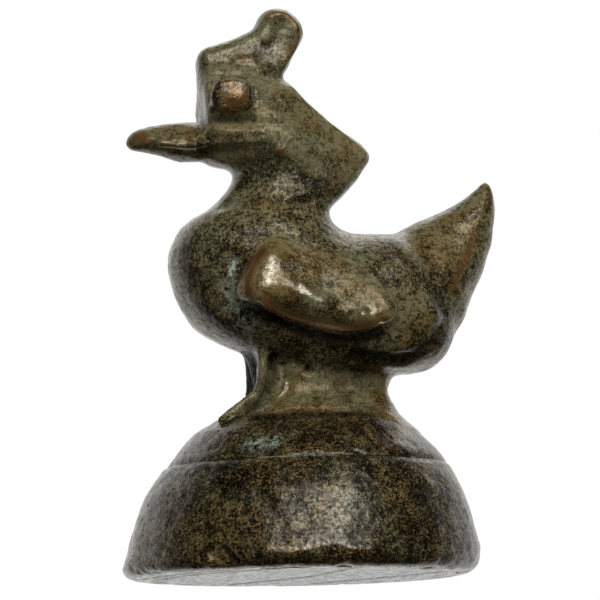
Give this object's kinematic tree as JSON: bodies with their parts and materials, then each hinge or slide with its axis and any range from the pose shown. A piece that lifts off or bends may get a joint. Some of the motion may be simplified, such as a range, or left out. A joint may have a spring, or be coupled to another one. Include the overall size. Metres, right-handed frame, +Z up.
{
  "type": "bird-shaped scale weight",
  "caption": "Cast bronze balance-scale weight in the form of a crested water bird with an upturned tail, standing on a domed round base with a scribed line.",
  "frame": {"origin": "centre of the base's flat underside", "axes": "+Z up, the bird faces -X, its left side is -Y"},
  "size_m": [0.0372, 0.0348, 0.0563],
  "materials": {
    "bronze": "cast bronze with a dark olive-brown patina, grainy, dull shine",
    "worn_bronze": "the same bronze rubbed to a warmer, brighter brown on raised places"
  },
  "bodies": {
    "root": {"base": "bronze", "support_block": "bronze", "left_leg": "bronze", "right_leg": "bronze", "body": "bronze", "tail": "bronze", "head": "bronze", "upper_bill": "bronze", "lower_bill": "bronze", "crest": "bronze", "left_wing": "worn_bronze", "right_wing": "worn_bronze", "left_eye": "worn_bronze", "right_eye": "worn_bronze"}
  },
  "joints": []
}
